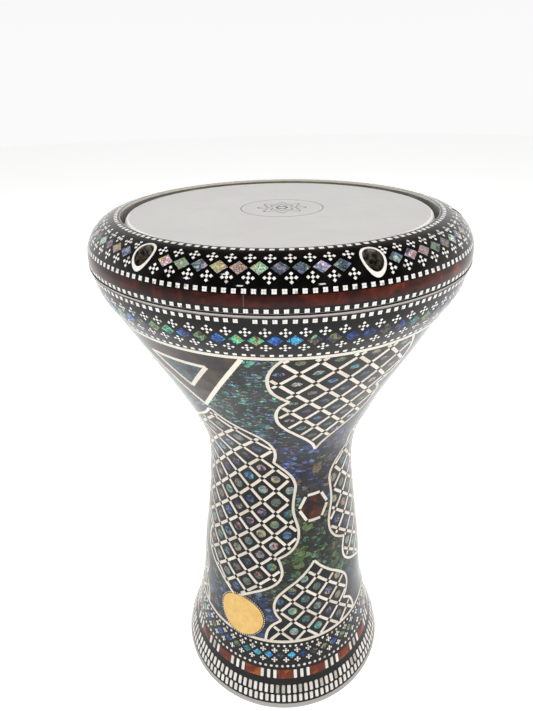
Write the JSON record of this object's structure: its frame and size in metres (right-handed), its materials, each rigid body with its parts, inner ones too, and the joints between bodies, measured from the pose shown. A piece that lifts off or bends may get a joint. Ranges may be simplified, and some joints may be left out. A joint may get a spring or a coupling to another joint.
{
  "type": "goblet drum",
  "caption": "Goblet drum with an inlaid cast shell, a film head on a hoop, and a tension ring drawn down by socket bolts in flush wells.",
  "frame": {"origin": "centre of the foot's rim, on the surface that the drum stands on", "axes": "+Z along the drum's axis towards the head; -Y faces the player's side with the gilt disc to its left"},
  "size_m": [0.28, 0.28, 0.4512],
  "materials": {
    "cast_aluminium": "sand-cast and turned, bare at the lips",
    "black_resin_inlay": "black resin set with shell and bone pieces under clear lacquer",
    "crushed_shell_inlay": "crushed blue-green shell in grey-black resin under clear lacquer",
    "pearl": "cream mother-of-pearl strip, lacquered",
    "tortoise": "red-brown imitation tortoiseshell, lacquered",
    "shell_centre": "iridescent shell, lacquered",
    "gold_disc": "satin gilt, plain",
    "ferrule": "cream tube cut flush with the shoulder",
    "film": "satin white polyester film",
    "hoop_aluminium": "rolled channel",
    "bond": "cast epoxy",
    "bolt_steel": "blackened steel",
    "washer_steel": "zinc-plated steel"
  },
  "bodies": {
    "shell": {"shell_casting": "cast_aluminium", "medallion_disc": "gold_disc", "medallion_border": "black_resin_inlay", "neck_hexagon_plaques": "tortoise", "gable_shell_centres": "shell_centre", "gable_tortoise_panels": "tortoise", "neck_inlay_sleeve": "crushed_shell_inlay", "foot_tortoise_blocks": "tortoise", "foot_inlay_band": "black_resin_inlay", "foot_pearl_ring": "pearl", "bowl_pearl_ring": "pearl", "bowl_inlay_band": "black_resin_inlay"},
    "rim": {"tension_ring": "cast_aluminium", "ring_inlay_shoulder": "black_resin_inlay", "ring_tortoise_band": "tortoise", "bolt_well_ferrules": "ferrule", "bolt_washers": "washer_steel"},
    "head": {"head_hoop": "hoop_aluminium", "head_bond": "bond", "head_film": "film"},
    "bolt_1": {"tuning_bolt_1": "bolt_steel"},
    "bolt_2": {"tuning_bolt_2": "bolt_steel"},
    "bolt_3": {"tuning_bolt_3": "bolt_steel"},
    "bolt_4": {"tuning_bolt_4": "bolt_steel"},
    "bolt_5": {"tuning_bolt_5": "bolt_steel"},
    "bolt_6": {"tuning_bolt_6": "bolt_steel"}
  },
  "joints": [
    {"name": "rim_lift", "type": "slide", "parent": "shell", "child": "rim", "axis": [0, 0, 1], "range_m": [0, 0.0135]},
    {"name": "head_lift", "type": "slide", "parent": "shell", "child": "head", "axis": [0, 0, 1], "range_m": [0, 0.0135]},
    {"name": "bolt_turn_1", "type": "hinge", "parent": "rim", "child": "bolt_1", "pos_m": [-0.07757, -0.10369, 0.4325], "axis": [0, 0, 1], "range_deg": [0, 4860.1]},
    {"name": "bolt_turn_2", "type": "hinge", "parent": "rim", "child": "bolt_2", "pos_m": [0.05101, -0.11903, 0.4325], "axis": [0, 0, 1], "range_deg": [0, 4860.1]},
    {"name": "bolt_turn_3", "type": "hinge", "parent": "rim", "child": "bolt_3", "pos_m": [0.12859, -0.01533, 0.4325], "axis": [0, 0, 1], "range_deg": [0, 4860.1]},
    {"name": "bolt_turn_4", "type": "hinge", "parent": "rim", "child": "bolt_4", "pos_m": [0.07757, 0.10369, 0.4325], "axis": [0, 0, 1], "range_deg": [0, 4860.1]},
    {"name": "bolt_turn_5", "type": "hinge", "parent": "rim", "child": "bolt_5", "pos_m": [-0.05101, 0.11903, 0.4325], "axis": [0, 0, 1], "range_deg": [0, 4860.1]},
    {"name": "bolt_turn_6", "type": "hinge", "parent": "rim", "child": "bolt_6", "pos_m": [-0.12859, 0.01533, 0.4325], "axis": [0, 0, 1], "range_deg": [0, 4860.1]}
  ],
  "couplings": [
    {"joint": "head_lift", "follows": "rim_lift", "ratio": 1},
    {"joint": "bolt_turn_1", "follows": "rim_lift", "rad_per_m": 6283.2},
    {"joint": "bolt_turn_2", "follows": "rim_lift", "rad_per_m": 6283.2},
    {"joint": "bolt_turn_3", "follows": "rim_lift", "rad_per_m": 6283.2},
    {"joint": "bolt_turn_4", "follows": "rim_lift", "rad_per_m": 6283.2},
    {"joint": "bolt_turn_5", "follows": "rim_lift", "rad_per_m": 6283.2},
    {"joint": "bolt_turn_6", "follows": "rim_lift", "rad_per_m": 6283.2}
  ]
}
